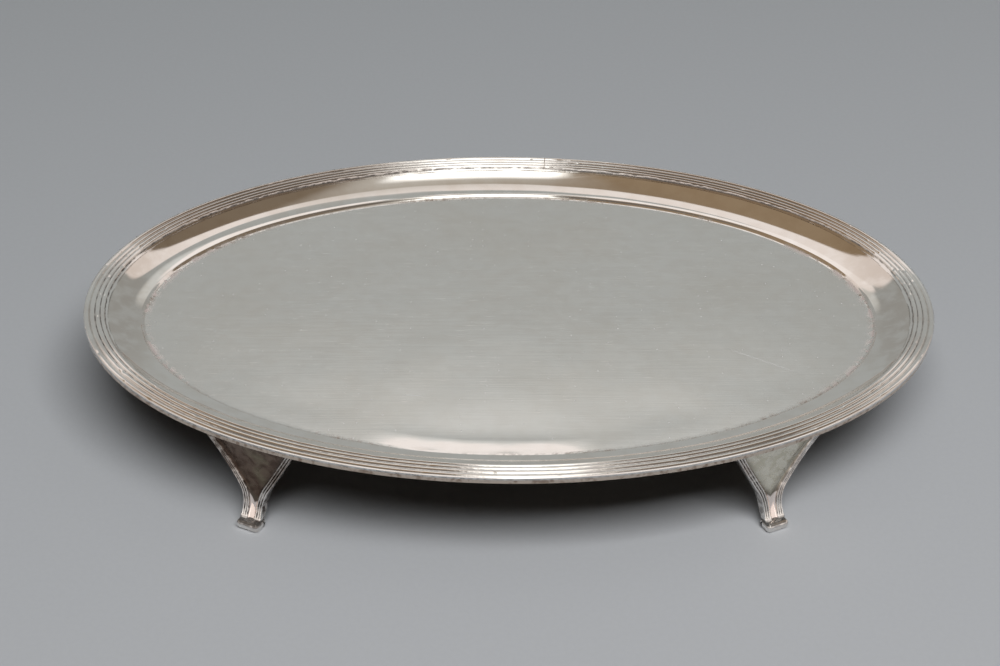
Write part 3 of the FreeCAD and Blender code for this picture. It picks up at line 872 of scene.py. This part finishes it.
def worn_polish(name, rough_low, rough_high, dirt_strength, dirt_from=0.45, film=0.45, upper_film_and_shade=0.0):
    """Polished silver with dark tarnish left in the grooves, less of it to the right, and a warm
    film, deeper in some places. The dirt starts where the crease mark passes dirt_from. The film
    covers at most a share film, and a browner film with painted shade covers up to a share
    upper_film_and_shade towards the top, more on the left."""
    material, tree, shader = new_material(name)
    x, y, z = place_of(tree)
    ragged = grain(tree, scale=700.0, detail=4.0)
    patches = grain(tree, scale=110.0, detail=3.0)
    deep = remap(tree, mark(tree, "crease"), dirt_from, dirt_from + 0.5)
    to_right = remap(tree, x, -15.0 * MM, 15.0 * MM, dirt_strength, 0.65 * dirt_strength)
    dirt = product(tree, deep, remap(tree, ragged, 0.34, 0.62, 0.15, 1.0), to_right)
    colour = blend_colours(tree, remap(tree, patches, 0.4, 0.7, 0.1 * film, film), SILVER, OLD_FILM)
    # the film is brownest along the back, to the left and right of the middle
    beside = remap(tree, calc(tree, "ABSOLUTE", x), *BESIDE_MIDDLE)
    beside = product(tree, beside, remap(tree, y, *RIM_BACK, 0.0, 0.7))
    colour = blend_colours(tree, beside, colour, BACK_FILM)
    # towards the top, and more on the left, a browner film with painted shade
    upper_darkening = product(tree, remap(tree, z, 0.3 * HEAD, 0.6 * HEAD), upper_film_and_shade)
    upper_darkening = product(tree, upper_darkening, remap(tree, ragged, 0.3, 0.6, 0.5, 1.0))
    upper_darkening = product(tree, upper_darkening, remap(tree, x, 10.0 * MM, -10.0 * MM, 0.3, 1.0))
    colour = blend_colours(tree, upper_darkening, colour, UPPER_FILM_AND_SHADE)
    colour = blend_colours(tree, dirt, colour, DEEP_TARNISH)
    rough = remap(tree, patches, 0.3, 0.7, rough_low, rough_high)
    set_surface(tree, shader, colour, opposite(tree, product(tree, dirt, 0.6)), rough)
    add_bump(tree, shader, ragged, 0.012 * MM)
    return material


def height_above_painted_reflection(tree, x, z, wide):
    """Height above the line below which a panel shows a bright painted reflection. It dips in the
    panel's middle and slants on the left feet."""
    line = calc(tree, "MULTIPLY_ADD", mark(tree, "sideways"), PAINTED_REFLECTION_DIP, PAINTED_REFLECTION_HEIGHT)
    line = calc(tree, "MULTIPLY_ADD", wide, PAINTED_REFLECTION_UNEVENNESS, line)
    painted_light_slant = product(tree, remap(tree, x, 10.0 * MM, -10.0 * MM), LEFT_FOOT_SLANT)
    fall = product(tree, painted_light_slant, calc(tree, "SUBTRACT", x, LEFT_FOOT_LINE))
    return calc(tree, "SUBTRACT", z, calc(tree, "SUBTRACT", line, fall))


def panel_tarnish_and_painted_light():
    """Recessed sheet of a foot: mottled brown tarnish with painted shade on the left feet and thinner
    olive on the right, a bright pinkish painted reflection at its foot, with a band of painted shade above
    that."""
    material, tree, shader = new_material("panel_tarnish_and_painted_light")
    x, _, z = place_of(tree)
    mottle = grain(tree, scale=520.0, detail=5.0, distortion=0.6)
    wide = grain(tree, scale=160.0, detail=3.0)
    patch = remap(tree, mottle, 0.36, 0.66)
    brown = blend_colours(tree, patch, *BROWN_PANEL_TARNISH_AND_SHADE)
    brown = blend_colours(tree, remap(tree, wide, 0.50, 0.72, 0.0, 0.5), brown, BROWN_PANEL_SHEEN)
    olive = blend_colours(tree, patch, *OLIVE_PANEL)
    # the left feet take the dark brown, which is tarnish and painted shade; the right feet the lighter
    # olive tarnish
    colour = blend_colours(tree, remap(tree, x, -10.0 * MM, 10.0 * MM), brown, olive)
    colour = blend_colours(tree, product(tree, mark(tree, "crease"), 0.7), colour, DEEP_TARNISH)
    above = height_above_painted_reflection(tree, x, z, wide)
    # a band of painted shade just above the line
    colour = blend_colours(tree, remap(tree, above, SHADE_BAND_HEIGHT, 0.0, 0.0, 0.75), colour, PAINTED_SHADE_BAND)
    # below the line, a bright pinkish painted reflection, where the panel is also smoother
    painted_reflection = remap(tree, above, PAINTED_REFLECTION_SOFTNESS, -PAINTED_REFLECTION_SOFTNESS)
    colour = blend_colours(tree, painted_reflection, colour, PAINTED_REFLECTION_SILVER)
    rough = remap(tree, mottle, 0.35, 0.65, 0.16, 0.34)
    rough = product(tree, rough, calc(tree, "MULTIPLY_ADD", painted_reflection, -0.6, 1.0))
    set_surface(tree, shader, colour, 0.95, rough)
    add_bump(tree, shader, mottle, 0.015 * MM)
    return material


def dull_solder():
    """Grey-brown lumpy solder."""
    material, tree, shader = new_material("dull_solder")
    lumps = grain(tree, scale=1100.0, detail=3.0)
    colour = blend_colours(tree, remap(tree, lumps, 0.38, 0.62), *SOLDER)
    set_surface(tree, shader, colour, 0.9, remap(tree, lumps, 0.3, 0.7, 0.22, 0.45))
    add_bump(tree, shader, lumps, 0.03 * MM)
    return material


# ---- the studio ----
# the paper from its dimmer to its lighter side; the change between them is painted light
FLOOR_PAPER_PAINTED_LIGHT = (rgb(0.582, 0.610, 0.632), rgb(0.615, 0.627, 0.652))
PAPER_FIBRE = rgb(0.3, 0.3, 0.3)
MIRRORED_PAPER = rgb(0.385, 0.392, 0.382)
MIRRORED_GLOW = rgb(0.66, 0.66, 0.64)
SMALL_SCREEN = rgb(0.98, 0.91, 0.88)
TENT = rgb(0.87, 0.79, 0.75)
ROOM = (rgb(0.195, 0.148, 0.105), rgb(0.285, 0.205, 0.130))
ROOM_OVERHEAD = rgb(0.16, 0.137, 0.118)
LAMP_HALO = rgb(0.55, 0.51, 0.46)
LAMP = rgb(1.7, 1.66, 1.6)
TENT_SIDES = rgb(0.62, 0.55, 0.50)
FRONT_SCREEN = rgb(0.92, 0.85, 0.81)


def floor_paper():
    """Smooth grey studio paper, with painted light that makes it a little lighter towards the front and
    the right.
    """
    material, tree, shader = new_material("floor_paper")
    x, y, _ = place_of(tree)
    painted_light_slant = calc(tree, "SUBTRACT", product(tree, x, 0.35), y)
    fibres = grain(tree, scale=900.0, detail=2.0)
    # painted light: lighter towards the front and the right
    colour = blend_colours(tree, remap(tree, painted_light_slant, -0.45, 0.35), *FLOOR_PAPER_PAINTED_LIGHT)
    colour = blend_colours(tree, remap(tree, fibres, 0.3, 0.7, 0.0, 0.03), colour, PAPER_FIBRE)
    set_surface(tree, shader, colour, 0.0, 0.8)
    feed(tree, shader.inputs["Specular IOR Level"], 0.1)
    return material


def sky_patch(tree, over, along, centre, half, soft, power=4.0):
    """A soft-edged rounded rectangle of sky. Angles in degrees: along from side to side, over from
    the horizon behind the salver, through the zenith, down to the horizon in front."""
    total = None
    for angle, place, size in [(along, centre[0], half[0]), (over, centre[1], half[1])]:
        away = calc(tree, "ABSOLUTE", calc(tree, "SUBTRACT", angle, place))
        share = calc(tree, "POWER", calc(tree, "DIVIDE", away, size), power)
        total = share if total is None else calc(tree, "ADD", total, share)
    return remap(tree, total, 1.0 + soft, 1.0 - soft)


def sky_above(tree, over, along, edge, bulge, centre, width, soft):
    """Sky above an edge that bulges upwards in one place. Angles in degrees, as in sky_patch."""
    away = calc(tree, "DIVIDE", calc(tree, "SUBTRACT", along, centre), width)
    hump = calc(tree, "EXPONENT", product(tree, away, away, -1.0))
    line = calc(tree, "MULTIPLY_ADD", hump, bulge, edge)
    return remap(tree, calc(tree, "SUBTRACT", over, line), -soft, soft)


def studio_surroundings():
    """What the silver mirrors: a grey paper sweep with a glow and a small white screen on it, a white
    tent with an opening to a dim brown room overhead, a lamp with its halo in that opening, and a
    white screen on the camera's side."""
    world = bpy.data.worlds.new("studio")
    bpy.context.scene.world = world
    world.use_nodes = True
    tree = world.node_tree
    background = tree.nodes["Background"]
    towards = tree.nodes.new("ShaderNodeTexCoord").outputs["Generated"]
    x, y, z = shader_node(tree, "ShaderNodeSeparateXYZ", {}, {"Vector": towards}).outputs
    over = calc(tree, "DEGREES", calc(tree, "ARCTAN2", z, y))
    along = calc(tree, "DEGREES", calc(tree, "ARCSINE", x))
    glow = sky_patch(tree, over, along, centre=(2.0, 43.5), half=(9.0, 7.6), soft=0.85)
    colour = blend_colours(tree, glow, MIRRORED_PAPER, MIRRORED_GLOW)
    screen = sky_patch(tree, over, along, centre=(-2.5, 47.0), half=(8.5, 6.0), soft=0.4)
    colour = blend_colours(tree, screen, colour, SMALL_SCREEN)
    tent = sky_above(tree, over, along, edge=43.0, bulge=20.5, centre=6.0, width=9.0, soft=1.0)
    colour = blend_colours(tree, tent, colour, TENT)
    room = sky_above(tree, over, along, edge=58.5, bulge=14.0, centre=5.0, width=13.0, soft=1.2)
    brown = blend_colours(tree, remap(tree, along, 18.0, -12.0), *ROOM)
    brown = blend_colours(tree, remap(tree, over, 94.0, 110.0), brown, ROOM_OVERHEAD)
    colour = blend_colours(tree, room, colour, brown)
    halo = sky_patch(tree, over, along, centre=(5.0, 120.0), half=(9.5, 52.0), soft=0.7, power=2.0)
    colour = blend_colours(tree, halo, colour, LAMP_HALO)
    lamp = sky_patch(tree, over, along, centre=(3.5, 132.0), half=(7.5, 48.0), soft=0.35)
    colour = blend_colours(tree, lamp, colour, LAMP)
    sides = remap(tree, calc(tree, "ABSOLUTE", along), 48.0, 54.0)
    colour = blend_colours(tree, sides, colour, TENT_SIDES)
    front = sky_above(tree, over, along, edge=134.0, bulge=0.0, centre=0.0, width=1.0, soft=3.0)
    colour = blend_colours(tree, product(tree, front, opposite(tree, lamp)), colour, FRONT_SCREEN)
    feed(tree, background.inputs["Color"], colour)
    # this sky is only mirrored and seen; the soft lamps below light the paper
    world.cycles_visibility.diffuse = False


def soft_lamp(name, place, width, depth, power):
    """A soft box, aimed at the salver, that lights the paper and isn't mirrored. Power in watts."""
    light = bpy.data.lights.new(name, "AREA")
    light.shape = "RECTANGLE"
    light.size = width
    light.size_y = depth
    light.energy = power
    lamp = bpy.data.objects.new(name, light)
    lamp.location = place
    lamp.rotation_euler = (-Vector(place)).to_track_quat("-Z", "Y").to_euler()
    lamp.visible_glossy = False
    bpy.context.scene.collection.objects.link(lamp)


def studio_floor(material):
    """The paper, a hair's breadth below the toes."""
    reach = 4.0
    gap = 0.01 * MM
    mesh = bpy.data.meshes.new("studio_floor")
    corners = [(-reach, -reach, 0), (reach, -reach, 0), (reach, reach, 0), (-reach, reach, 0)]
    mesh.from_pydata(corners, [], [(0, 1, 2, 3)])
    mesh.materials.append(material)
    floor = bpy.data.objects.new("studio_floor", mesh)
    floor.location.z = -gap
    bpy.context.scene.collection.objects.link(floor)


CAMERA_ELEVATION = 33.0
CAMERA_AZIMUTH = -1.75    # a little to the salver's left
CAMERA_ROLL = 1.115
CAMERA_DISTANCE = 2.5     # in lengths of the salver
SENSOR = 36.0             # mm, as is the lens
LENS = 76.2
CAMERA_SHIFT = (-0.0104, -0.0351)


def studio_camera():
    """The camera, which looks at the middle of the rim from the front."""
    elevation = math.radians(CAMERA_ELEVATION)
    azimuth = math.radians(CAMERA_AZIMUTH)
    roll = math.radians(CAMERA_ROLL)
    level = math.cos(elevation)
    back = Vector((math.sin(azimuth) * level, -math.cos(azimuth) * level, math.sin(elevation)))
    right = Vector((math.cos(azimuth), math.sin(azimuth), 0))
    up = back.cross(right)
    turned_right = math.cos(roll) * right + math.sin(roll) * up
    turned_up = math.cos(roll) * up - math.sin(roll) * right
    aim = Vector((0, 0, wire_high.z))
    place = aim + CAMERA_DISTANCE * 2 * HALF_LENGTH * back
    data = bpy.data.cameras.new("camera")
    data.sensor_width = SENSOR
    data.lens = LENS
    data.shift_x, data.shift_y = CAMERA_SHIFT
    camera = bpy.data.objects.new("camera", data)
    turn = Matrix((turned_right, turned_up, back)).transposed()
    camera.matrix_world = Matrix.Translation(place) @ turn.to_4x4()
    bpy.context.scene.collection.objects.link(camera)
    bpy.context.scene.camera = camera


def keep_cad_solder(material):
    """The small solder fillets and the butt joint are shown as the CAD nodes they are."""
    for name, node in frame["nodes"].items():
        if "solder" in name and name != "rim_solder":
            node.data.materials.clear()
            node.data.materials.append(material)


def main():
    sheet = sheet_silver()
    wire = worn_polish("wire_silver", 0.07, 0.16, 0.8)
    strip = worn_polish("strip_silver", 0.10, 0.22, 1.0, dirt_from=0.0, film=0.95, upper_film_and_shade=0.9)
    toe = worn_polish("toe_silver", 0.10, 0.20, 0.8, dirt_from=0.2, film=0.9)
    solder = dull_solder()
    tray_plate(sheet)
    rim_wire(wire)
    rim_seam(worn_polish("seam_silver", 0.06, 0.16, 0.9))
    feet(panel_tarnish_and_painted_light(), strip, toe)
    keep_cad_solder(solder)
    studio_floor(floor_paper())
    studio_surroundings()
    soft_lamp("key", (0.15, -0.62, 1.06), width=0.95, depth=0.52, power=10.9)
    soft_lamp("fill", (0.3, 0.2, 1.3), width=1.4, depth=1.4, power=1.0)
    studio_camera()
    bpy.context.scene.view_settings.view_transform = "Standard"


main()
